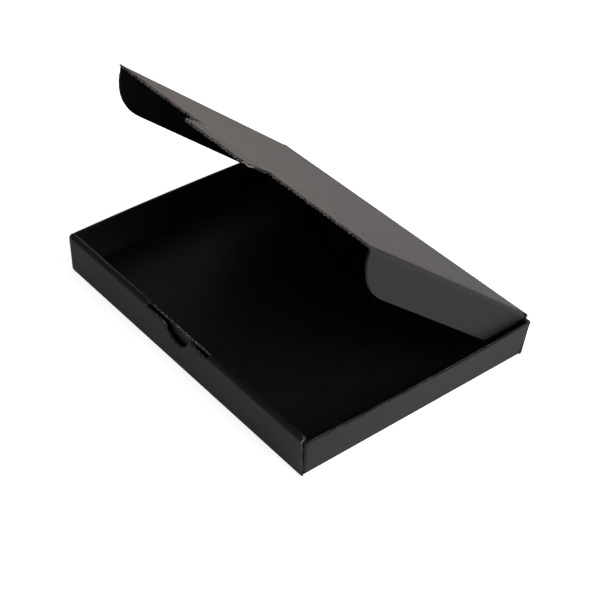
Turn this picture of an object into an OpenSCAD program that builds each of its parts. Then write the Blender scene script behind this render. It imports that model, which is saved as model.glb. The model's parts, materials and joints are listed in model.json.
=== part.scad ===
// Die-cut mailer box folded from one sheet of thin corrugated board, lid part open.
// The front wall is rolled over double, and a slot along its top takes the lid's tuck tab.
// Millimetres, +Z up, +X along the front wall, +Y from front to back.
// The origin lies under the middle of the base.

/* [Board] */
// Thickness of the corrugated board
board = 1.5; // [1:0.1:2.5]
// Inside radius of a folded edge
fold_inner = 0.5; // [0.2:0.1:2]
// Thinning of each face of the board in a corner's crushed fold
crush = 0.1; // [0.05:0.05:0.2]
// Gap between two boards that lie face to face
slip = 0.2; // [0.1:0.05:0.4]
// Gap along a crease that two panels turn on
crease_gap = 0.35; // [0.2:0.05:0.8]

/* [Tray] */
// Length along the front wall
box_l = 225; // [190:1:320]
// Depth from front wall to back wall, at the base
box_w = 160; // [120:1:230]
// Height of the front wall's flat faces, below its rolled top
front_h = 24; // [20:0.5:36]
// Height of the crease that the lid turns on
hinge_h = 24; // [20:0.5:36]
// Backward lean of the springy back wall, in degrees
back_lean = 12.5; // [0:0.5:18]
// Reach of the corner flaps folded in behind the front and back walls
corner_flap = 55; // [25:1:60]
// Height of the gap under each corner flap
corner_relief = 0.6; // [0.4:0.1:2]

/* [Front lock] */
// Length of the slot in the rolled top
slot_l = 60; // [40:1:70]
// Radius of the finger notch in the outer board
notch_r = 12; // [9:0.5:16]
// Depth of the finger notch below the slot
notch_depth = 8.5; // [5:0.5:12]
// Width of each foot that locks the rolled board into the base
foot_w = 26; // [15:1:40]
// Distance of each foot from the middle of the wall
foot_x = 62; // [45:1:70]

/* [Lid] */
// Opening of the lid from level, in degrees
lid_open = 40.8; // [25:0.2:60]
// Gap between the lid's edge and each side wall
lid_side_gap = 0.3; // [0.2:0.1:1]
// Gap between the closed lid's front edge and the rolled wall
lid_front_gap = 0.3; // [0.2:0.1:2]
// Gap under the closed lid where it crosses the slot's edges
lid_rest_gap = 0.5; // [0.3:0.1:1]
// Gap between a spread lid flap and the side wall's top
wall_gap = 0.35; // [0.2:0.05:1]
// Length of each slit beside the tab
slit_l = 3; // [1:0.5:8]
// Width of each slit beside the tab
slit_w = 1; // [0.6:0.1:2]

/* [Lid flaps] */
// Gap between a tucked lid flap and the base
floor_gap = 0.3; // [0.2:0.1:2]
// Radius of the flap's rounded front end
nose_r = 31; // [24:1:40]
// Distance of the flap's tip from the lid's front edge
nose_gap = 1.5; // [0.5:0.5:10]
// Distance of the flap's heel from the hinge crease
heel_v = 8; // [5:0.5:15]
// Gap between the flap's slanted heel and the side wall's top
heel_gap = 0.5; // [0.3:0.1:2]

/* [Lock tab] */
// Length of the tab beyond its crease
tab_len = 14; // [8:0.5:18]
// Radius of the tab's front corners
tab_r = 6; // [2:0.5:7.5]
// Gap at each end of the tab in its slot
tab_end_gap = 1; // [0.5:0.1:3]
// Downward bend of the tab, in degrees
tab_bend = 4; // [0:0.5:20]

/* [Hidden] */
$fn = 96;
over = 1;
board_black = "#1d1d1e";

// The folds and the front wall's roll.
fold_r = board + fold_inner;
pocket = board + 2 * slip;
roll_r = board + pocket / 2;
front_y = -box_w / 2;
inner_y = front_y + board + pocket;
inner_l = box_l - 2 * (board + slip);
behind_y = front_y + board + slip;

// The leaning back wall: a point given across and up the wall, in the row's Y and Z.
function back_y(y, z) = box_w / 2 - fold_r + y * cos(back_lean) + z * sin(back_lean);
function back_z(y, z) = fold_r - y * sin(back_lean) + z * cos(back_lean);
wall_mid = fold_r - board / 2;
back_run = (hinge_h - fold_r + wall_mid * sin(back_lean)) / cos(back_lean);
hinge_y = back_y(wall_mid, back_run);
behind_back = -board - slip;

// The lid, and the tilt it has when it is shut.
crease = board / 2 + crease_gap;
lid_w = box_l - 2 * (board + lid_side_gap);
flap_x = (lid_w - board) / 2;
hinge_l = lid_w - 2 * board;
lid_len = hinge_y - front_y - 2 * roll_r - lid_front_gap;
tab_v = hinge_y - front_y - roll_r;
tab_w = slot_l - 2 * tab_end_gap;
shut = asin((front_h + lid_rest_gap + board / 2 - hinge_h) / tab_v);

// The side walls' sloping top stays just below the shut lid's spread flaps.
function side_top(y) =
    hinge_h + (hinge_y - y) * tan(shut) - board / 2 / cos(shut) - wall_gap;
side_front = behind_y + fold_r;
side_back_run = (side_top(back_y(behind_back, 0)) - back_z(behind_back, 0))
    / (cos(back_lean) + tan(shut) * sin(back_lean));

// The lid flaps, measured from the hinge crease and down from the flap's own crease.
nose_v = lid_len - nose_gap;
flap_d = hinge_h + min(0, nose_v * sin(shut)) - board - floor_gap;
nose_mid = nose_v - sqrt(pow(nose_r, 2) - pow(flap_d - nose_r, 2));
heel_slope = tan(lid_open - shut);
heel_rise = (board / 2 / cos(shut) + wall_gap - heel_gap)
    / (cos(lid_open) + tan(shut) * sin(lid_open));
heel_d = min(flap_d, heel_v * heel_slope + heel_rise);
heel_end = max(heel_v, (flap_d - heel_rise) / heel_slope);

// A flat outline drawn in Y and Z, given a length along X about the middle.
module along_x(length) {
    translate([-length / 2, 0, 0])
        rotate([90, 0, 90])
            linear_extrude(length)
                children();
}

// A bent board: the part of its ring that lies inside the outline given as children.
module bent_board(r) {
    intersection() {
        difference() {
            circle(r);
            circle(r - board);
        }
        children();
    }
}

// Children drawn upright stand in the back wall's own leaning frame.
module in_back_wall() {
    translate([0, box_w / 2 - fold_r, fold_r])
        rotate([-back_lean, 0, 0])
            children();
}

// Section from front to back: rolled front wall, base and back wall with its rounded top.
// The back wall's fold turns through less than a quarter, because the wall leans.
module long_section() {
    reach = 4 * fold_r;
    translate([front_y + roll_r, front_h])
        bent_board(roll_r)
            translate([-2 * roll_r, 0])
                square(4 * roll_r);
    translate([inner_y, board + slip])
        square([board, front_h - board - slip]);
    translate([front_y, fold_r])
        square([board, front_h - fold_r]);
    translate([front_y + fold_r, fold_r])
        bent_board(fold_r)
            translate([-reach, -reach])
                square(reach);
    translate([front_y + fold_r, 0])
        square([box_w - 2 * fold_r, board]);
    translate([box_w / 2 - fold_r, fold_r]) {
        bent_board(fold_r)
            polygon([
                [0, 0], [0, -reach], [reach, -reach],
                [reach * cos(back_lean), -reach * sin(back_lean)]
            ]);
        rotate(-back_lean) {
            translate([fold_r - board, 0])
                square([board, back_run]);
            translate([wall_mid, back_run])
                circle(d = board);
        }
    }
}

// What the long strip lacks at its right end: the base and the rolled board stop short
// of the side wall, and the back wall's top corner is cut away beside the hinge crease.
module end_cuts() {
    base_end = box_w / 2 - fold_r - corner_relief;
    translate([box_l / 2 - fold_r, -base_end, -over])
        cube([fold_r + over, 2 * base_end, over + board + slip / 2]);
    translate([inner_l / 2, front_y + roll_r, board + slip / 2])
        cube([box_l - inner_l, roll_r + over, front_h + roll_r]);
    translate([(box_l + hinge_l) / 4 + over / 2, 0, 0])
        along_x((box_l - hinge_l) / 2 + over)
            polygon([
                [0, side_top(0)],
                [box_w, side_top(box_w)],
                [box_w, 2 * hinge_h],
                [0, 2 * hinge_h]
            ]);
}

// The slots in the base that the feet lock into.
module foot_slots() {
    for (side = [-1, 1])
        translate([side * foot_x - foot_w / 2 - 2 * slip, inner_y - slip, -over])
            cube([foot_w + 4 * slip, board + 2 * slip, board + over]);
}

// Front wall, base and back wall as one strip, with the feet that hold the rolled board.
module long_strip() {
    difference() {
        along_x(box_l)
            long_section();
        end_cuts();
        mirror([1, 0, 0])
            end_cuts();
        foot_slots();
    }
    for (side = [-1, 1])
        translate([side * foot_x - foot_w / 2, inner_y + crush, slip])
            cube([foot_w, board - 2 * crush, board + slip]);
}

// A corner's fold, crushed thinner than the board, with a root that reaches into each panel.
module crushed_fold() {
    thin = board - 2 * crush;
    intersection() {
        difference() {
            circle(fold_r - crush);
            circle(fold_inner + crush);
        }
        square(2 * fold_r);
    }
    translate([fold_inner + crush, -board / 2])
        square([thin, board / 2]);
    translate([-board / 2, fold_inner + crush])
        square([board / 2, thin]);
}

// Plan of a corner flap, lying towards +Y, with the fold that joins it to its side wall.
module corner_plan() {
    translate([box_l / 2 - fold_r, 0])
        crushed_fold();
    translate([box_l / 2 - corner_flap, fold_inner])
        square([corner_flap - fold_r, board]);
}

// A side wall with its fold along the base and a corner flap turned in at each end.
module right_wall() {
    low = fold_r + corner_relief;
    front_top = min(front_h, side_top(side_front)) - slip;
    back_end = back_y(behind_back, 0);
    translate([box_l / 2 - board / 2, 0, 0])
        along_x(board)
            polygon([
                [side_front, fold_r],
                [side_front, side_top(side_front)],
                [back_y(behind_back, side_back_run), back_z(behind_back, side_back_run)],
                [back_end, back_z(behind_back, 0)],
                [back_end, fold_r]
            ]);
    translate([box_l / 2 - fold_r, back_end - corner_relief, fold_r])
        rotate([90, 0, 0])
            linear_extrude(back_end - side_front - 2 * corner_relief)
                mirror([0, 1])
                    crushed_fold();
    translate([0, side_front, low])
        linear_extrude(front_top - low)
            mirror([0, 1])
                corner_plan();
    in_back_wall()
        translate([0, behind_back, corner_relief])
            linear_extrude(side_back_run - 2 * corner_relief)
                corner_plan();
}

// The slot takes away the roll between the two boards' cut edges.
module lock_slot() {
    translate([-slot_l / 2, front_y - over, front_h])
        cube([slot_l, 2 * roll_r + 2 * over, roll_r + over]);
    translate([0, front_y + board + pocket / 2, front_h - notch_depth + notch_r])
        rotate([90, 0, 0])
            cylinder(r = notch_r, h = board + pocket / 2 + over);
}

module tray() {
    color(board_black)
        difference() {
            union() {
                long_strip();
                right_wall();
                mirror([1, 0, 0])
                    right_wall();
            }
            lock_slot();
        }
}

// Children drawn level, running from the hinge crease towards -Y, turn up with the lid.
module in_lid() {
    translate([0, hinge_y, hinge_h])
        rotate([-lid_open, 0, 0])
            children();
}

module lid() {
    color(board_black)
        in_lid()
            difference() {
                union() {
                    translate([-flap_x, -lid_len, -board / 2])
                        cube([2 * flap_x, lid_len - crease, board]);
                    for (side = [-1, 1])
                        translate([side * flap_x, -crease, 0])
                            rotate([90, 0, 0])
                                cylinder(d = board, h = lid_len - crease);
                    translate([-tab_w / 2, -tab_v, -board / 2])
                        cube([tab_w, tab_v - lid_len + over, board]);
                    translate([-tab_w / 2, -tab_v, 0])
                        rotate([0, 90, 0])
                            cylinder(d = board, h = tab_w);
                }
                for (side = [-1, 1])
                    translate([side * (tab_w + slit_w) / 2, slit_l / 2 - lid_len, 0])
                        cube([slit_w, slit_l + 2 * 0.01, 2 * board], center = true);
            }
}

// Outline of a lid flap: distance from the hinge crease, then depth below its own crease.
// Its front end is cut to an arc that runs out of the bottom edge.
module flap_outline() {
    difference() {
        polygon([
            [heel_v, crease], [heel_v, heel_d], [heel_end, flap_d],
            [nose_v, flap_d], [nose_v, crease]
        ]);
        difference() {
            translate([nose_mid, crease - over])
                square([nose_v - nose_mid + over, flap_d - crease + 2 * over]);
            translate([nose_mid, flap_d - nose_r])
                circle(nose_r);
        }
    }
}

module lid_flap(side) {
    color(board_black)
        in_lid()
            translate([side * flap_x, 0, 0])
                along_x(board)
                    rotate(180)
                        flap_outline();
}

module left_flap() {
    lid_flap(-1);
}

module right_flap() {
    lid_flap(1);
}

// The tuck tab, with rounded front corners, bent a little down from the lid.
module lock_tab() {
    color(board_black)
        in_lid()
            translate([0, -tab_v, 0])
                rotate([tab_bend, 0, 0])
                    translate([0, 0, -board / 2])
                        linear_extrude(board) {
                            translate([-tab_w / 2, tab_r - tab_len])
                                square([tab_w, tab_len - tab_r - crease]);
                            translate([tab_r - tab_w / 2, -tab_len])
                                square([tab_w - 2 * tab_r, tab_len - crease]);
                            for (side = [-1, 1])
                                translate([side * (tab_w / 2 - tab_r), tab_r - tab_len])
                                    circle(tab_r);
                        }
}

tray();
lid();
left_flap();
right_flap();
lock_tab();
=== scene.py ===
import json

import bmesh
import bpy
import numpy as np
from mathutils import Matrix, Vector


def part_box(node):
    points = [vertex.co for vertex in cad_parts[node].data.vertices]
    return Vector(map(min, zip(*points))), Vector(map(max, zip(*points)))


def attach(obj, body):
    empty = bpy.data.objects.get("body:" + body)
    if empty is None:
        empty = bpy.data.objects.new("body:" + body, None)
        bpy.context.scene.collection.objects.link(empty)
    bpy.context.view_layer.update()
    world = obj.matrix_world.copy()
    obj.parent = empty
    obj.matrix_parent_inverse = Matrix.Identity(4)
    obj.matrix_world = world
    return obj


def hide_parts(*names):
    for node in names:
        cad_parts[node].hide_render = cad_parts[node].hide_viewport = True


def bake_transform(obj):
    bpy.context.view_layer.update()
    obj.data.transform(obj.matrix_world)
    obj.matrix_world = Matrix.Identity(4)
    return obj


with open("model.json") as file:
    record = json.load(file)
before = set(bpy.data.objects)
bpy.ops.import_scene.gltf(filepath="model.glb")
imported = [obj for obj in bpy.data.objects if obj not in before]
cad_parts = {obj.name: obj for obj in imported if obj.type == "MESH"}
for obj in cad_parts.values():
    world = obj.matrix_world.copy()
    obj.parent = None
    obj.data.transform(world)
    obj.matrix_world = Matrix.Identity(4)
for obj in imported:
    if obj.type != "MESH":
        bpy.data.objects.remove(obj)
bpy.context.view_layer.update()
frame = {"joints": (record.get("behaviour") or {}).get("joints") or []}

# Rolled front wall, of the one black corrugated sheet that the whole box is folded from. The board
# stands up, rolls over a rounded top and comes down again inside, so the wall is double. A slot along
# the roll takes the lid's tab, with a half-round finger notch below it in the outer board.

MM = 0.001
joints = {joint["name"]: joint for joint in frame["joints"]}
tray_low, tray_high = (np.array(corner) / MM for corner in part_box("tray"))

# The board, in millimetres: two liners with fluting between them.
board = 1.5
half = board / 2
liner = 0.2
medium = 0.16
glue_gap = 0.012
flute = 3.2
hollow_depth = 1.2

# Kinds of edge: how deep the knife pressed the liners, how far in that reaches and how pale it frayed.
dip = {"flat": 0, "plain": 0, "cut": 0.45, "worn": 0.6, "frayed": 0.6, "torn": 0.8, "crushed": 0.9}
dip_reach = {"flat": 1, "plain": 1, "cut": 0.7, "worn": 0.9, "frayed": 0.9, "torn": 1.2, "crushed": 1.2}
fray = {"flat": 0, "plain": 0, "cut": 0.1, "worn": 0.4, "frayed": 1, "torn": 0.05, "crushed": 1}
press_mean, press_swing, press_least = 0.7, 0.3, 0.2
long_press, short_press, short_shift = 23, 11, 1
shortest = 1e-9


def line(start, end, shares):
    """Points along a straight stretch at shares of its length, and the side to the right of it."""
    start, end = np.array(start, float), np.array(end, float)
    along = (end - start) / np.linalg.norm(end - start)
    side = np.array([along[1], -along[0]])
    points = start + (end - start) * np.reshape(shares, (-1, 1))
    return points, np.broadcast_to(side, points.shape)


def even(count):
    """Shares of a length from nought to one in even steps."""
    return np.linspace(0, 1, count)


def arc(centre, radius, first, last, count):
    """Points on a circle between two angles in degrees, and the direction away from its centre."""
    angle = np.radians(np.linspace(first, last, count))
    away = np.stack([np.cos(angle), np.sin(angle)], axis=1)
    return np.array(centre) + radius * away, away


def trace(*stretches):
    """One path from stretches that meet end to end: its points, outer sides and length so far."""
    points = np.concatenate([stretches[0][0]] + [stretch[0][1:] for stretch in stretches[1:]])
    sides = np.concatenate([stretches[0][1]] + [stretch[1][1:] for stretch in stretches[1:]])
    step = np.linalg.norm(np.diff(points, axis=0), axis=1)
    return points, sides, np.concatenate([[0], np.cumsum(step)])


def quads(index):
    """The four corners of each cell in a grid of vertex numbers."""
    corners = [index[:-1, :-1], index[1:, :-1], index[1:, 1:], index[:-1, 1:]]
    return np.stack(corners, axis=-1).reshape(-1, 4)


def whole(kind, *sides):
    """Rims of one kind along the whole of each side."""
    return [(side, 0, -1, kind) for side in sides]


def shell(middle, outward, sheet, rims, fold=0.0):
    """Both faces and the cut edges of a piece of corrugated board.

    middle[i, j] is the middle of the board on a grid, outward[i, j] its outer side and
    sheet[i, j] the same point on the flat sheet, whose first number runs across the flutes.
    A face is the middle moved half the thickness. The knife presses the board thinner near a cut,
    so there each liner dips between the flutes, by a sine of the distance across the flutes, and
    two slower sines make the press uneven.
    A rim is (side, first, last, kind), where i0 is the side at the first i, and a negative place
    counts from the end. A flat rim has two rows. Any other has ten rows across the thickness: a
    liner's edge, the hollow, the fluting, which weaves from liner to liner by the same sine, the
    hollow and the other liner. The hollow's rows lie deeper. At its two ends a rim's rows come
    together on the outer faces, so that rims which meet there close the board.
    """
    n, m = middle.shape[:2]
    places = {"i": m, "j": n}
    rims = [(side, first % places[side[0]], last % places[side[0]], kind)
            for side, first, last, kind in rims]
    outward = np.broadcast_to(outward, middle.shape)
    phase = 2 * np.pi * sheet[..., 0] / flute
    near = np.zeros((n, m))
    for side, first, last, kind in rims:
        axis = "ij".index(side[0])
        step = np.linalg.norm(np.diff(middle, axis=axis), axis=-1)
        run = np.insert(np.cumsum(step, axis=axis), 0, 0, axis=axis)
        if side[1] == "1":
            run = run.max(axis=axis, keepdims=True) - run
        place = np.arange(places[side[0]])
        kept = dip[kind] * ((place >= first) & (place <= last))
        fade = np.exp(-(run / dip_reach[kind]) ** 2)
        near = np.maximum(near, fade * np.expand_dims(kept, axis))
    slow = 2 * np.pi * sheet[..., 0]
    swing = np.sin(slow / long_press) + np.sin(slow / short_press + short_shift)
    near = near * (press_mean + press_swing * swing).clip(press_least, 1)
    high = half - near * (1 - np.sin(phase)) / 2
    low = half - near * (1 + np.sin(phase)) / 2
    outer_face = middle + outward * high[..., None]
    inner_face = middle - outward * low[..., None]
    turn = np.cross(middle[1:, :-1] - middle[:-1, :-1], middle[:-1, 1:] - middle[:-1, :-1])
    faces = quads(np.arange(n * m).reshape(n, m))
    if (turn * outward[:-1, :-1]).sum() < 0:
        faces = faces[:, ::-1]
    made = {
        "points": [outer_face.reshape(-1, 3), inner_face.reshape(-1, 3)],
        "faces": [faces, faces[:, ::-1] + n * m],
        "sheet": [sheet.reshape(-1, 2)] * 2,
        "fold": [np.broadcast_to(fold, (n, m)).ravel()] * 2,
        "cut": [np.zeros(len(faces), int)] * 2,
    }
    count = 2 * n * m
    for side, first, last, kind in rims:
        here = slice(first, last + 1)
        at, inner = {
            "i0": ((0, here), (1, here)), "i1": ((-1, here), (-2, here)),
            "j0": ((here, 0), (here, 1)), "j1": ((here, -1), (here, -2)),
        }[side]
        edge, outer_side = middle[at], outward[at]
        inward = middle[inner] - edge
        inward = inward / np.linalg.norm(inward, axis=1)[:, None]
        run = np.linalg.norm(np.gradient(edge, axis=0), axis=1)
        along = np.gradient(sheet[at][:, 0]) / np.maximum(run, shortest)
        top, bottom = high[at] - liner, liner - low[at]
        room = np.maximum((top - bottom - medium) / 2, 0)
        centre = (top + bottom) / 2 + room * np.sin(phase[at])
        slope = (room + dip[kind] / 2) * 2 * np.pi / flute * np.cos(phase[at]) * along
        thick = np.minimum(medium / 2 * np.sqrt(1 + slope ** 2), (top - bottom) / 2)
        crest = np.minimum(centre + thick, top - glue_gap)
        trough = np.maximum(centre - thick, bottom + glue_gap)
        level = np.array([high[at], top, top, crest, crest, trough, trough, bottom, bottom, -low[at]])
        deep = np.array([0, 0, 1, 1, 0, 0, 1, 1, 0, 0])
        if kind == "flat":
            level, deep = level[[0, -1]], deep[[0, -1]]
        ends = [0, -1]
        level[:len(level) // 2, ends] = high[at][ends]
        level[len(level) // 2:, ends] = -low[at][ends]
        sunk = np.tile(deep[:, None] * hollow_depth, (1, len(edge)))
        sunk[:, ends] = 0
        rows = edge + outer_side * level[..., None] + inward * sunk[..., None]
        strip = quads(count + np.arange(level.size).reshape(level.shape).T)
        if (np.cross(edge[1:] - edge[:-1], -outer_side[:-1]) * -inward[:-1]).sum() < 0:
            strip = strip[:, ::-1]
        made["points"].append(rows.reshape(-1, 3))
        made["faces"].append(strip)
        made["sheet"].append(np.tile(sheet[at], (len(level), 1)))
        made["fold"].append(np.repeat((1.0 - deep) * fray[kind], len(edge)))
        made["cut"].append(np.full(len(strip), int(kind != "flat")))
        count += level.size
    return {name: np.concatenate(rows) for name, rows in made.items()}


class Value:
    """A socket that can stand in a sum: each operator adds one Math node to its tree."""

    def __init__(self, tree, socket):
        self.tree = tree
        self.socket = socket

    def math(self, operation, *terms):
        """Adds one Math node, fed by values or plain numbers."""
        node = self.tree.nodes.new("ShaderNodeMath")
        node.operation = operation
        for place, term in zip(node.inputs, terms):
            if isinstance(term, Value):
                self.tree.links.new(term.socket, place)
            else:
                place.default_value = term
        return Value(self.tree, node.outputs[0])

    def __add__(self, other):
        return self.math("ADD", self, other)

    def __sub__(self, other):
        return self.math("SUBTRACT", self, other)

    def __rsub__(self, other):
        return self.math("SUBTRACT", other, self)

    def __mul__(self, other):
        return self.math("MULTIPLY", self, other)

    __radd__ = __add__
    __rmul__ = __mul__


class Finish:
    """A material with one Principled shader, and the nodes that feed it."""

    def __init__(self, name):
        self.material = bpy.data.materials.new(name)
        self.material.use_nodes = True
        self.tree = self.material.node_tree
        self.shader = self.tree.nodes["Principled BSDF"]

    def node(self, kind, settings, sockets, output=0):
        """Adds a node, sets its settings first and then the values or links of its sockets."""
        node = self.tree.nodes.new(kind)
        for name, setting in settings.items():
            setattr(node, name, setting)
        self.feed(node, sockets)
        return Value(self.tree, node.outputs[output])

    def feed(self, node, sockets):
        """Sets each named or numbered input of a node to a constant, or links a value to it."""
        for name, given in sockets.items():
            if isinstance(given, Value):
                self.tree.links.new(given.socket, node.inputs[name])
            else:
                node.inputs[name].default_value = given


def black_liner():
    """Dull black paper. The flutes show through as a faint washboard, a sine across the sheet.
    Fibres are noise drawn out across the flutes, clouds and specks are round noise, and folds
    are scuffed paler. The relief adds these up, in millimetres."""
    ink_dark, ink_pale = (0.001, 0.001, 0.001, 1), (0.009, 0.009, 0.0095, 1)
    washboard_h, fibre_h, speck_h, cloud_h = 0.004, 0.003, 0.005, 0.008
    fibre_scale = (900, 3000, 1)
    paper = Finish("black_liner")
    sheet = paper.node("ShaderNodeUVMap", {"uv_map": "sheet"}, {})
    across_flutes = paper.node("ShaderNodeSeparateXYZ", {}, {"Vector": sheet}, "X")
    washboard = across_flutes.math("SINE", across_flutes * (2 * np.pi / (flute * MM)))
    grain = paper.node("ShaderNodeMapping", {}, {"Vector": sheet, "Scale": fibre_scale})
    fibre = paper.node("ShaderNodeTexNoise", {}, {
        "Vector": grain, "Scale": 1.0, "Detail": 3.0, "Roughness": 0.6})
    cloud = paper.node("ShaderNodeTexNoise", {}, {
        "Vector": sheet, "Scale": 90.0, "Detail": 4.0, "Roughness": 0.6})
    speck = paper.node("ShaderNodeTexNoise", {}, {"Vector": sheet, "Scale": 1500.0, "Detail": 2.0})
    fold = paper.node("ShaderNodeAttribute", {"attribute_name": "fold"}, {}, "Fac")
    scuff = fold * cloud * fibre
    tone = cloud + 0.5 * fibre + 1.2 * speck + 0.8 * scuff - 0.85
    colour = paper.node("ShaderNodeMix", {"data_type": "RGBA"}, {0: tone, 6: ink_dark, 7: ink_pale}, 2)
    relief = washboard_h * washboard * cloud + fibre_h * fibre + speck_h * speck + cloud_h * cloud
    bump = paper.node("ShaderNodeBump", {}, {"Strength": 1.0, "Distance": MM, "Height": relief})
    paper.feed(paper.shader, {
        "Base Color": colour, "Roughness": 0.46 + 0.12 * cloud - 0.06 * scuff,
        "Normal": bump, "Specular IOR Level": 0.3,
    })
    return paper.material


def cut_board():
    """The raw cut edge: fibrous dark paper, with pale specks where the liner is torn or frayed.
    The fold attribute says how much, and a noise drawn through a narrow range picks the specks."""
    dark, pale = (0.004, 0.0035, 0.003, 1), (0.42, 0.41, 0.39, 1)
    fibre_h = 0.05
    edge = Finish("cut_board")
    place = edge.node("ShaderNodeTexCoord", {}, {}, "Object")
    fibre = edge.node("ShaderNodeTexNoise", {}, {
        "Vector": place, "Scale": 1800.0, "Detail": 3.0, "Roughness": 0.65})
    pressed = edge.node("ShaderNodeTexNoise", {}, {"Vector": place, "Scale": 160.0, "Detail": 2.0})
    torn = edge.node("ShaderNodeTexNoise", {}, {"Vector": place, "Scale": 450.0, "Detail": 2.0})
    bare = edge.node("ShaderNodeMapRange", {}, {"Value": torn, "From Min": 0.42, "From Max": 0.62})
    frayed = edge.node("ShaderNodeAttribute", {"attribute_name": "fold"}, {}, "Fac")
    tone = 0.1 * fibre + 0.05 * pressed + frayed * (0.15 + 0.85 * bare)
    colour = edge.node("ShaderNodeMix", {"data_type": "RGBA"}, {0: tone, 6: dark, 7: pale}, 2)
    bump = edge.node("ShaderNodeBump", {}, {"Strength": 0.7, "Distance": MM, "Height": fibre_h * fibre})
    edge.feed(edge.shader, {
        "Base Color": colour, "Roughness": 0.8 + 0.15 * fibre,
        "Normal": bump, "Specular IOR Level": 0.25,
    })
    return edge.material


board_finishes = [black_liner(), cut_board()]
weld_gap = 0.005
least_edge = 0.001
sharp_angle = np.radians(32)


def board_piece(name, shells):
    """One mesh from shells of board, welded where they meet, with the flat sheet as its UV map."""
    start = np.cumsum([0] + [len(part["points"]) for part in shells])
    points = np.concatenate([part["points"] for part in shells]) * MM
    faces = np.concatenate([part["faces"] + first for part, first in zip(shells, start)])
    sheet = np.concatenate([part["sheet"] for part in shells]) * MM
    mesh = bpy.data.meshes.new(name)
    mesh.from_pydata(points.tolist(), [], faces.tolist())
    mesh.uv_layers.new(name="sheet").data.foreach_set("uv", sheet[faces.ravel()].ravel())
    fold = mesh.attributes.new("fold", "FLOAT", "POINT")
    fold.data.foreach_set("value", np.concatenate([part["fold"] for part in shells]))
    mesh.polygons.foreach_set("material_index", np.concatenate([part["cut"] for part in shells]))
    welded = bmesh.new()
    welded.from_mesh(mesh)
    bmesh.ops.remove_doubles(welded, verts=welded.verts, dist=weld_gap * MM)
    bmesh.ops.dissolve_degenerate(welded, edges=welded.edges, dist=least_edge * MM)
    welded.to_mesh(mesh)
    welded.free()
    mesh.polygons.foreach_set("use_smooth", np.ones(len(mesh.polygons), bool))
    mesh.set_sharp_from_angle(angle=sharp_angle)
    for finish in board_finishes:
        mesh.materials.append(finish)
    piece = bpy.data.objects.new(name, mesh)
    bpy.context.scene.collection.objects.link(piece)
    return piece


box_end = tray_high[0]
front_y = tray_low[1]
front_h = 24
slip = 0.2
pocket = board + 2 * slip
roll_r = half + pocket / 2
fold_r = 0.8
fold_mid = fold_r + half
inner_end = box_end - board - slip
base_end = box_end - fold_mid
slot_end = 30
notch_r = 12
notch_depth = 8.5
notch_end = np.sqrt(notch_r ** 2 - (notch_r - notch_depth) ** 2)
foot_in, foot_out = 49, 75
foot_room = 0.05
foot_low = 0.2
inner_low = board + slip
crease_x = joints["right_flap_crease"]["pos_m"][0] / MM
lid_end = crease_x + half
hinge_end = lid_end - board

# Columns along X: fine along the slot, wide beside it, and both sides of them from end to end.
wide_count, fine_count = 16, 193
wide = np.unique(np.concatenate([
    np.linspace(slot_end, hinge_end, wide_count), [base_end, box_end],
    [foot_in - foot_room, foot_in, foot_out, foot_out + foot_room],
]))
fine = np.unique(np.concatenate([np.linspace(-slot_end, slot_end, fine_count), [-notch_end, notch_end]]))
across = np.concatenate([-wide[:0:-1], fine, wide[1:]])

# The path in Y and Z, from the inner board's lower edge over the roll to the base. Its points
# stand close together beside a cut edge.
outer_y = front_y + half
inner_y = outer_y + 2 * roll_r
roll_count, fold_count = 19, 7
near_both = [0, 0.02, 0.05, 0.1, 0.3, 0.6, 0.85, 0.92, 0.96, 0.98, 1]
near_start = [0, 0.02, 0.045, 0.075, 0.12, 0.25, 0.45, 0.7, 1]
inner_line = line((inner_y, inner_low), (inner_y, front_h), near_both)
roll_arc = arc((outer_y + roll_r, front_h), roll_r, 0, 180, roll_count)
outer_line = line((outer_y, front_h), (outer_y, fold_mid), near_start)
front_fold = arc((front_y + fold_mid, fold_mid), fold_r, 180, 270, fold_count)
roll_path = trace(inner_line, roll_arc, outer_line, front_fold)
base_run = -front_y - fold_mid
roll_sheet = roll_path[2] - roll_path[2][-1] - base_run
roll_start = len(inner_line[0]) - 1
roll_top = roll_start + roll_count // 2
roll_stop = roll_start + roll_count - 1


def swept(x, path, sheet_y, rims, folds=0.0):
    """A path in Y and Z carried along X. x holds a row of places for each point of the path."""
    points, sides, _ = path
    x = np.broadcast_to(x, (len(points), x.shape[-1])).T
    middle = np.stack(np.broadcast_arrays(x, points[:, 0], points[:, 1]), axis=-1)
    outward = np.insert(sides, 0, 0, axis=1)
    sheet = np.stack(np.broadcast_arrays(x, sheet_y), axis=-1)
    return shell(middle, outward, sheet, rims, folds)


def fold_marks(*stretches):
    """One where a stretch of path is a fold and nought where it is flat, point by point."""
    least_turn = 0.5
    marks = [np.full(len(points), float(np.ptp(sides) > least_turn)) for points, sides in stretches]
    return np.concatenate([marks[0]] + [mark[1:] for mark in marks[1:]])


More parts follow.
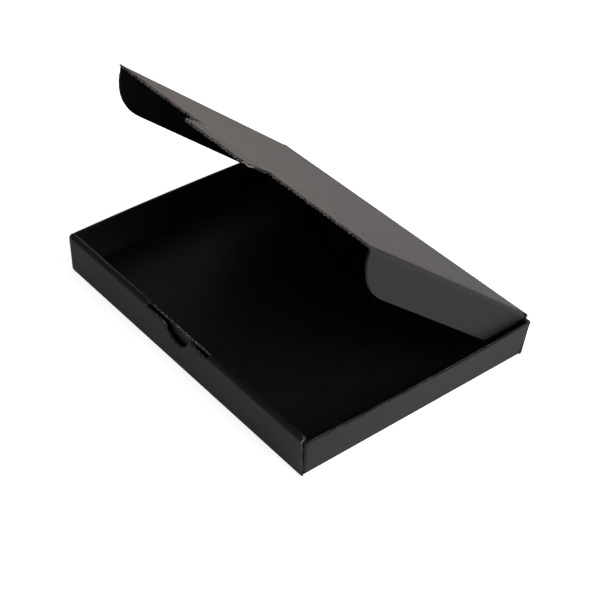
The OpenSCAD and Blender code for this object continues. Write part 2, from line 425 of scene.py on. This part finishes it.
tray_shells = []
roll_folds = fold_marks(inner_line, roll_arc, outer_line, front_fold)
roll_place = np.arange(len(roll_path[0]))
end_x = np.where(roll_place <= roll_top, inner_end, box_end)
end_step = 0.8
foot_first, foot_last = (int(np.flatnonzero(wide == place)[0]) for place in (foot_in, foot_out))
foot_path = trace(line((inner_y, foot_low), (inner_y, inner_low), even(2)))
foot_sheet = roll_sheet[0] - inner_low + foot_path[0][:, 1]
for way in (-1, 1):
    x = np.tile(way * wide, (len(roll_place), 1))
    x[:, -2] = way * np.minimum(wide[-2], end_x - end_step)
    x[:, -1] = way * end_x
    tray_shells.append(swept(x, roll_path, roll_sheet, [
        ("i1", 0, roll_stop, "worn"), ("i1", roll_stop, -1, "cut"),
        ("i0", roll_start, roll_stop, "plain"), ("j0", 0, foot_first, "plain"),
        ("j0", foot_last, -1, "plain"), ("j1", -2, -1, "flat"),
    ], roll_folds))
    foot_x = way * wide[foot_first:foot_last + 1]
    tray_shells.append(swept(foot_x, foot_path, foot_sheet, whole("plain", "j0", "i0", "i1")))

slot_plain = 2


def slot_rim(side, kind):
    """One long edge of the slot, pressed by the knife apart from a little at either end."""
    return [(side, 0, slot_plain, "plain"), (side, slot_plain, -1 - slot_plain, kind),
            (side, -1 - slot_plain, -1, "plain")]


inner_rims = slot_rim("j1", "frayed") + whole("plain", "j0")
tray_shells.append(swept(fine, trace(inner_line), roll_sheet[:roll_start + 1], inner_rims))

# The outer board below the slot. The notch draws its upper points down by the depth of a circle.
notch_curve = np.sqrt(np.maximum(notch_r ** 2 - fine ** 2, 0)) - (notch_r - notch_depth)
notch_drop = np.where(np.abs(fine) < notch_end, notch_curve, 0)
slot_places, slot_sides, _ = trace(outer_line, front_fold)
slot_y, slot_z = slot_places.T
share = np.clip((slot_z - fold_mid) / (front_h - fold_mid), 0, 1)
slot_points = np.stack(np.broadcast_arrays(
    fine[:, None], slot_y, slot_z - notch_drop[:, None] * share), axis=-1)
slot_sheet = np.stack(np.broadcast_arrays(fine[:, None], roll_sheet[roll_stop:]), axis=-1)
tray_shells.append(shell(
    slot_points, np.insert(slot_sides, 0, 0, axis=1), slot_sheet,
    slot_rim("j0", "torn"), fold_marks(outer_line, front_fold)))

# Base. A flat panel of the sheet with two die-cut slots near the front wall, where the feet of
# the rolled board lock in from above. All four walls fold up from its edges.

back_y = -front_y
foot_gap = 0.02
rows_start, rows_count = -70, 14
foot_slot = (inner_y - half - foot_gap, inner_y + half + foot_gap)
depth_rows = np.concatenate([[-base_run, *foot_slot], np.linspace(rows_start, base_run, rows_count)])


def base_part(x, y, rims):
    """A flat stretch of the base between the given places along X and Y."""
    shares = (y - y[0]) / (y[-1] - y[0])
    return swept(x, trace(line((y[0], half), (y[-1], half), shares)), y, rims)


inset = across[1:-1]
slots = [int(np.flatnonzero(inset == place)[0]) for place in (
    -foot_out - foot_room, -foot_in + foot_room, foot_in - foot_room, foot_out + foot_room)]
slot_gaps = [(slots[0], slots[1]), (slots[2], slots[3])]
slot_front = [("j1", first, last, "plain") for first, last in slot_gaps]
slot_back = [("j0", first, last, "plain") for first, last in slot_gaps]
tray_shells.append(base_part(inset, depth_rows[:2], slot_front))
for first, last, sides in (
        (0, slots[0], ["i1"]), (slots[1], slots[2], ["i0", "i1"]), (slots[3], len(inset) - 1, ["i0"])):
    tray_shells.append(base_part(inset[first:last + 1], depth_rows[1:3], whole("plain", *sides)))
tray_shells.append(base_part(inset, depth_rows[2:], slot_back))

# Back wall. A single thickness of the board, which stands on the base's back fold and springs
# backwards a little. It runs up to the crease that the lid turns on, which is shorter than the wall.

hinge = np.array(joints["lid_hinge"]["pos_m"][1:]) / MM
back_foot = np.array([back_y - fold_mid, fold_mid])
reach_y, reach_z = hinge - back_foot
lean = np.arctan2(reach_y, reach_z) - np.arcsin(fold_r / np.hypot(reach_y, reach_z))
wall_up = np.array([np.sin(lean), np.cos(lean)])
wall_out = np.array([np.cos(lean), -np.sin(lean)])
crease_reach = 2.4
back_count = 7
back_fold = arc(back_foot, fold_r, -90, -np.degrees(lean), fold_count)
back_rise = line(back_foot + fold_r * wall_out, hinge - crease_reach * wall_up, even(back_count))
back_path = trace(back_fold, back_rise)
back_sheet = base_run + back_path[2]
tray_shells.append(swept(across, back_path, back_sheet, whole("flat", "i0", "i1") + [
    ("j0", 0, 1, "flat"), ("j0", -2, -1, "flat"),
    ("j1", 0, 2, "plain"), ("j1", 2, -3, "flat"), ("j1", -3, -1, "plain"),
], fold_marks(back_fold, back_rise)))

# Side walls. Each is a single board that folds up from the base. A flap at either end turns
# in round the corner: the front one is trapped in the roll, the back one lies against the back wall.

flap_axis = joints["right_flap_crease"]["axis"]
lid_open = np.arctan2(flap_axis[2], -flap_axis[1])
shut = lid_open + np.radians(joints["lid_hinge"]["range_deg"][0])
wall_gap = 0.35
wall_front = front_y + board + slip + fold_mid
pressed_gap = 0.05
behind = -board - pressed_gap
corner_flap = 55
back_flap_h = 21
foot_rise = 0.6
spring = 3.8
spring_held = 1.5
wall_count, corner_count, height_count = 9, 6, 5


def side_top(y):
    """Height of a side wall's sloping top edge: just under the closed lid's spread flap."""
    return hinge[1] + (hinge[0] - y) * np.tan(shut) - half - wall_gap


def back_line(z):
    """Place along Y of a side wall's leaning back end at a height."""
    foot = back_foot + behind * wall_out
    return foot[0] + (z - foot[1]) * np.tan(lean)


def leaned(middle):
    """The wall's top springs outwards, most at its middle: a parabola along Y, growing with height."""
    x, y, z = np.moveaxis(middle, -1, 0)
    share = np.clip((z - fold_mid) / (side_top(y) - fold_mid), 0, 1)
    out = (spring - spring_held * (y / back_y) ** 2) * share
    return np.stack([x + np.sign(x) * out, y, z], axis=-1)


def side_wall(way):
    """The fold and wall seen from the front, carried along Y, with its top on the sloping line.
    The back end's place and height depend on each other, and settle in two rounds."""
    wall_x = base_end + fold_r
    wall_low = fold_mid + foot_rise
    fold = arc((base_end, fold_mid), fold_r, -90, 0, fold_count)
    foot = line((wall_x, fold_mid), (wall_x, wall_low), even(2))
    rise = line((wall_x, wall_low), (wall_x, front_h), even(wall_count))
    points, sides, run = trace(fold, foot, rise)
    y = np.tile(depth_rows[:, None], (1, len(points)))
    z = np.tile(points[:, 1], (len(depth_rows), 1))
    wall = points[:, 1] > fold_mid + foot_rise / 2
    y[0, wall] = wall_front
    share = (points[wall, 1] - wall_low) / (front_h - wall_low)
    for _ in range(2):
        y[-1, wall] = back_line(z[-1, wall])
        z[:, wall] = wall_low + (side_top(y[:, wall]) - wall_low) * share
    middle = leaned(np.stack(np.broadcast_arrays(way * points[:, 0], y, z), axis=-1))
    outward = np.stack([way * sides[:, 0], np.zeros(len(points)), sides[:, 1]], axis=-1)
    sheet = np.stack(np.broadcast_arrays(way * (base_end + run), y), axis=-1)
    rims = whole("plain", "j1") + whole("flat", "i0", "i1")
    return shell(middle, outward, sheet, rims, fold_marks(fold, foot, rise))


def corner_turn(way, start, heights, place):
    """A corner fold and its flap in plan, carried upwards. place turns these into X, Y and Z."""
    turn = arc((base_end, start), fold_r, 0, 90, fold_count)
    flap_y = start + fold_r
    flat = line((base_end, flap_y), (box_end - corner_flap, flap_y), even(corner_count))
    points, sides, run = trace(turn, flat)
    sides = np.where(np.arange(len(points))[:, None] < len(turn[0]), sides, [0, 1])
    height = np.linspace(*heights, height_count)
    grid = np.broadcast_arrays(way * points[:, 0, None], points[:, 1, None], height)
    side = np.broadcast_arrays(way * sides[:, 0, None], sides[:, 1, None], np.zeros(height_count))
    outward = place(*side) - place(0, 0, 0)
    sheet = np.stack(np.broadcast_arrays(way * (base_end + height), (start + run)[:, None]), axis=-1)
    rims = whole("flat", "i0") + whole("plain", "i1") + whole("flat", "j0", "j1")
    return shell(leaned(place(*grid)), outward, sheet, rims, fold_marks(turn, flat)[:, None])


def in_front(x, y, z):
    """Plan with the flap towards -Y, upright."""
    return np.stack(np.broadcast_arrays(x, -y, z), axis=-1).astype(float)


def in_back(x, y, z):
    """Plan with the flap towards the back wall, leaning with it."""
    x, y, z = np.broadcast_arrays(x, y, z)
    row = back_foot + np.multiply.outer(y, wall_out) + np.multiply.outer(z, wall_up)
    return np.concatenate([np.asarray(x, float)[..., None], row], axis=-1)


for way in (-1, 1):
    tray_shells.append(side_wall(way))
    tray_shells.append(corner_turn(way, -wall_front, (fold_mid, side_top(wall_front)), in_front))
    tray_shells.append(corner_turn(way, behind, (0, back_flap_h), in_back))
tray = board_piece("tray_sheet", tray_shells)
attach(tray, "tray")
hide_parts("tray")

# Hinge crease. The sheet runs on from the back wall into the lid over a pressed crease,
# which bends as the lid swings.

lid_along = np.array([-np.cos(lid_open), np.sin(lid_open)])
lid_up = np.array([np.sin(lid_open), np.cos(lid_open)])
hinge_tangent = 1.7
hinge_count, crease_count = 11, 61


def rounded_corner(corner, before, after, reach, tangent, count):
    """Two straight stretches that meet at a corner, with an arc between them that touches both."""
    turn = np.arccos(np.clip(before @ after, -1, 1))
    radius = tangent / np.tan(turn / 2)
    side = np.array([before[1], -before[0]])
    first = np.degrees(np.arctan2(side[1], side[0]))
    centre = corner - tangent * before - radius * side
    return (
        line(corner - reach * before, corner - tangent * before, even(2)),
        arc(centre, radius, first, first + np.degrees(turn), count),
        line(corner + tangent * after, corner + reach * after, even(2)),
    )


bend = rounded_corner(hinge, wall_up, lid_along, crease_reach, hinge_tangent, hinge_count)
bend_path = trace(*bend)
bend_sheet = back_sheet[-1] + bend_path[2]
crease_end = np.linspace(hinge_end, lid_end, len(bend_path[0]))
crease_x_rows = crease_end[:, None] * np.linspace(-1, 1, crease_count)
crease_rims = whole("flat", "j0", "j1", "i0", "i1")
hinge_crease = board_piece("hinge_crease", [
    swept(crease_x_rows, bend_path, bend_sheet, crease_rims, fold_marks(*bend))])
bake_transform(hinge_crease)

# Lid. A flat panel of the sheet that, with its flaps, fits between the side walls. A short slit
# on each side of the tab lets the tab bend at its own crease.

tab_joint = np.array(joints["lock_tab_crease"]["pos_m"][1:]) / MM
tab_v = np.linalg.norm(tab_joint - hinge)
wall_thick = 2 * roll_r + board
lid_front_gap = 0.3
lid_len = hinge[0] - front_y - wall_thick - lid_front_gap
slit_len = 3
slit_v = lid_len - slit_len
slit_end = 30
tab_end = 29
tab_reach = 1.3
fold_reach = 1.7
heel_v = 3.2
nose_gap = 1.5
nose_v = lid_len - nose_gap
lid_sheet = bend_sheet[-1] - crease_reach
lid_normal = np.array([0, *lid_up])

# Columns across the lid and rows along it. The columns are fine enough for the flutes.
side_count, tab_count, body_count, slit_count, edge_count = 246, 183, 14, 4, 5
side_columns = np.linspace(slit_end, crease_x - fold_reach, side_count)
tab_columns = np.linspace(-tab_end, tab_end, tab_count)
main_columns = np.concatenate([-side_columns[::-1], tab_columns, side_columns])
lid_columns = np.concatenate([[-lid_end], main_columns, [lid_end]])
body_rows = np.linspace(heel_v, slit_v, body_count)
slit_rows = np.linspace(slit_v, nose_v, slit_count)
edge_rows = np.linspace(nose_v, lid_len, edge_count)
front_rows = np.concatenate([slit_rows, edge_rows[1:]])


def lid_place(x, v, up):
    """A place across the lid, along it from the hinge and above its middle, in X, Y and Z."""
    x, v, up = np.broadcast_arrays(x, v, up)
    row = hinge + np.multiply.outer(v, lid_along) + np.multiply.outer(up, lid_up)
    return np.concatenate([np.asarray(x, float)[..., None], row], axis=-1)


def lid_part(x, v, rims):
    """A flat stretch of the lid between the given places across and along it."""
    grid = np.meshgrid(x, v, indexing="ij")
    sheet = np.stack([grid[0], lid_sheet + grid[1]], axis=-1)
    return shell(lid_place(grid[0], grid[1], 0.0), lid_normal, sheet, rims)


hinge_rims = whole("flat", "j0", "i0", "i1") + [("j1", 0, 1, "flat"), ("j1", -2, -1, "flat")]
slit_rims = [("j1", side_count - 1, side_count, "plain"), ("j1", -1 - side_count, -side_count, "plain")]
root_rims = whole("plain", "i0", "i1") + whole("flat", "j1")
lid_shells = [
    lid_part(lid_columns, np.array([crease_reach, heel_v]), hinge_rims),
    lid_part(main_columns, body_rows, whole("flat", "i0", "i1") + slit_rims),
    lid_part(tab_columns, np.array([slit_v, lid_len, tab_v - tab_reach]), root_rims),
]
strip_rims = whole("plain", "i0") + [("i1", 0, slit_count - 1, "flat")] + whole("crushed", "j1")
end_rims = whole("plain", "i1") + whole("crushed", "j1") + whole("flat", "j0")
for way in (-1, 1):
    end_columns = np.array([side_columns[-1], lid_end])
    lid_shells.append(lid_part(way * side_columns, front_rows, strip_rims))
    lid_shells.append(lid_part(way * end_columns, edge_rows, end_rims))
lid = board_piece("lid_panel", lid_shells)
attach(lid, "lid")
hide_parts("lid")

# Lid flaps. Board creased down from each side of the lid on a rounded fold, to tuck inside the
# side wall. The front end is cut to a single arc. The heel slants along the side wall's top line.

floor_gap = 0.3
flap_depth = hinge[1] - board - floor_gap
nose_r = 31
nose_mid = nose_v - np.sqrt(nose_r ** 2 - (nose_r - flap_depth) ** 2)
heel_knee = 8
heel_gap = 0.5
heel_slope = np.tan(lid_open - shut)
heel_room = half / np.cos(shut) + wall_gap - heel_gap
heel_rise = heel_room / (np.cos(lid_open) + np.tan(shut) * np.sin(lid_open))
heel_depth = heel_knee * heel_slope + heel_rise
heel_end = (flap_depth - heel_rise) / heel_slope
fold_x = crease_x - fold_reach
fold_run = fold_reach * np.pi / 2
nose_start = np.arcsin((fold_reach - flap_depth + nose_r) / nose_r)
flap_rows, flap_plain = 110, 4
fold_row_count, quarter_count = 48, 9
close_shares = np.array([0, 0.002, 0.005, 0.009, 0.016])
open_shares = np.linspace(0.03, 0.97, 24)
fold_rows = np.linspace(heel_v, nose_v, fold_row_count)


def flap_fold(way):
    """A quarter turn from the lid's face to the flap's, carried along the lid."""
    points, sides, run = trace(arc((fold_x, -fold_reach), fold_reach, 90, 0, quarter_count))
    grid = np.broadcast_arrays(way * points[:, 0], fold_rows[:, None], points[:, 1])
    outward = lid_place(way * sides[:, 0], 0.0, sides[:, 1]) - lid_place(0.0, 0.0, 0.0)
    sheet = np.stack(np.broadcast_arrays(way * (fold_x + run), lid_sheet + fold_rows[:, None]), axis=-1)
    rims = whole("flat", "j0", "j1") + whole("plain", "i0", "i1")
    return shell(lid_place(*grid), outward, sheet, rims, 1.0)


def end_rims_from(root, kind):
    """Rims along both ends of a flap: plain as far as the root's last place, then of another kind."""
    ends = ("i0", "i1")
    return [(side, 0, root, "plain") for side in ends] + [(side, root, -1, kind) for side in ends]


def flap_panel(way):
    """The flap row by row: depth follows the nose's arc, and each row runs from heel to nose."""
    depth = flap_depth - nose_r + nose_r * np.sin(np.linspace(nose_start, np.pi / 2, flap_rows))
    heel = np.interp(depth, [fold_reach, heel_depth, flap_depth], [heel_v, heel_knee, heel_end])
    nose = nose_mid + np.sqrt(np.maximum(nose_r ** 2 - (depth - flap_depth + nose_r) ** 2, 0))
    share = np.concatenate([close_shares, open_shares, 1 - close_shares[::-1]])[:, None]
    v = heel + (nose - heel) * share
    depth = np.broadcast_to(depth, v.shape)
    sheet = np.stack([way * (fold_x + fold_run + depth - fold_reach), lid_sheet + v], axis=-1)
    rims = whole("flat", "j0") + whole("cut", "j1") + end_rims_from(flap_plain, "cut")
    return shell(lid_place(way * crease_x, v, -depth), np.array([way, 0.0, 0.0]), sheet, rims)


for way, name in ((-1, "left"), (1, "right")):
    crease = board_piece(name + "_flap_fold", [flap_fold(way)])
    ends = lid_place(way * np.array([fold_x, crease_x]), heel_v, np.array([0, -fold_reach])) * MM
    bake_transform(crease)
    flap = board_piece(name + "_lid_flap", [flap_panel(way)])
    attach(flap, name + "_flap")
    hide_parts(name + "_flap")

# Tuck tab. A tongue of the board at the middle of the lid's front edge, bent slightly down at its
# crease, that drops through the slot between the front wall's two boards.

tab_len = 14
tab_r = 6
tab_straight = 4
tab_tangent = 1.0
tab_bend = np.radians(4)
bend_count, round_count, tab_plain = 5, 13, 2
tab_along = np.cos(tab_bend) * lid_along - np.sin(tab_bend) * lid_up
tab_up = np.cos(tab_bend) * lid_up + np.sin(tab_bend) * lid_along
tab_sheet = lid_sheet + tab_v
tab_path = trace(*rounded_corner(tab_joint, lid_along, tab_along, tab_reach, tab_tangent, bend_count))
tab_crease_rims = whole("flat", "j0", "j1") + whole("plain", "i0", "i1")
tab_crease = board_piece("tab_crease", [
    swept(tab_columns, tab_path, tab_sheet - tab_reach + tab_path[2], tab_crease_rims, 1.0)])
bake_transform(tab_crease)

# Each row of the tab is as wide as its rounded corners leave it.
round_angle = np.radians(np.linspace(0, 90, round_count))
tab_rows = np.concatenate([[tab_reach, tab_straight], tab_len - tab_r + tab_r * np.sin(round_angle)])
tab_half = np.concatenate([[tab_end, tab_end], tab_end - tab_r + tab_r * np.cos(round_angle)])
x = np.linspace(-1, 1, tab_count)[:, None] * tab_half
row = tab_joint + tab_rows[:, None] * tab_along
middle = np.stack(np.broadcast_arrays(x, row[:, 0], row[:, 1]), axis=-1)
sheet = np.stack(np.broadcast_arrays(x, tab_sheet + tab_rows), axis=-1)
tab_rims = whole("flat", "j0") + whole("crushed", "j1") + end_rims_from(tab_plain, "crushed")
tab = board_piece("tuck_tab", [shell(middle, np.array([0, *tab_up]), sheet, tab_rims)])
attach(tab, "lock_tab")
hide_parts("lock_tab")

# Floor, light and camera. A pale studio floor that runs on into white, and three soft lamps: one
# high behind on the right, one low behind on the left, which the lid mirrors, and a fill from the
# right. The camera looks down over the front right corner.

floor_half = 3
floor_z = -0.0001
floor_ring = [(-floor_half, -floor_half, floor_z), (floor_half, -floor_half, floor_z),
              (floor_half, floor_half, floor_z), (-floor_half, floor_half, floor_z)]
mesh = bpy.data.meshes.new("floor")
mesh.from_pydata(floor_ring, [], [(0, 1, 2, 3)])
floor = bpy.data.objects.new("floor", mesh)
scene = bpy.context.scene
scene.collection.objects.link(floor)
camera_lift = 0.83
mirror_lift = 0.2
ray_kinds = ("Is Camera Ray", "Is Glossy Ray", "Is Transmission Ray")
floor_dim, floor_bright = (0.86, 0.86, 0.86, 1), (0.88, 0.88, 0.88, 1)
pale = Finish("pale_floor")
seen, mirrored, through = [pale.node("ShaderNodeLightPath", {}, {}, kind) for kind in ray_kinds]
lift = camera_lift * seen + mirror_lift * mirrored + mirror_lift * through
glow = pale.node("ShaderNodeCombineColor", {}, {"Red": lift, "Green": lift, "Blue": lift})
place = pale.node("ShaderNodeTexCoord", {}, {}, "Object")
mottle = pale.node("ShaderNodeTexNoise", {}, {"Vector": place, "Scale": 3.0})
white = pale.node("ShaderNodeMix", {"data_type": "RGBA"}, {0: mottle, 6: floor_dim, 7: floor_bright}, 2)
pale.feed(pale.shader, {
    "Base Color": white, "Roughness": 0.9, "Specular IOR Level": 0.0,
    "Emission Color": glow, "Emission Strength": 1.0,
})
mesh.materials.append(pale.material)

ambient = 0.2
mirror_level = 0.2
world = bpy.data.worlds.new("studio")
scene.world = world
world.use_nodes = True
sky = world.node_tree
rays = sky.nodes.new("ShaderNodeLightPath")
seen, mirrored, through = [Value(sky, rays.outputs[kind]) for kind in ray_kinds]
level = ambient + (1 - ambient) * seen + (mirror_level - ambient) * (mirrored + through)
background = sky.nodes["Background"]
background.inputs["Color"].default_value = (1, 1, 1, 1)
sky.links.new(level.socket, background.inputs["Strength"])

# Each lamp: its name, its place and size in metres, its power in watts and its tint.
lamps = (
    ("key_lamp", (0.5, 1.0, 0.9), 0.9, 2.2, (1.0, 0.9, 0.84)),
    ("back_lamp", (-0.42, 0.55, 0.16), 0.4, 0.72, (1.0, 0.8, 0.7)),
    ("fill_lamp", (1.0, 0.35, 0.6), 0.8, 14.2, (0.98, 0.93, 1.0)),
)
for name, spot, size, power, tint in lamps:
    light = bpy.data.lights.new(name, "AREA")
    light.size = size
    light.energy = power
    light.color = tint
    lamp = bpy.data.objects.new(name, light)
    lamp.location = spot
    lamp.rotation_euler = lamp.location.to_track_quat("Z", "Y").to_euler()
    scene.collection.objects.link(lamp)

azimuth, elevation = np.radians(51.803), np.radians(38.699)
focal_px = 1546.8
frame_px = 600
distance = 0.9193
target = Vector((-0.00367, 0.0108, 0))
level_out = np.cos(elevation)
back = Vector((np.sin(azimuth) * level_out, -np.cos(azimuth) * level_out, np.sin(elevation)))
camera = bpy.data.objects.new("camera", bpy.data.cameras.new("camera"))
camera.data.sensor_width = 36
camera.data.lens = focal_px * camera.data.sensor_width / frame_px
camera.location = target + distance * back
camera.rotation_euler = back.to_track_quat("Z", "Y").to_euler()
scene.collection.objects.link(camera)
scene.camera = camera
scene.view_settings.view_transform = "Standard"
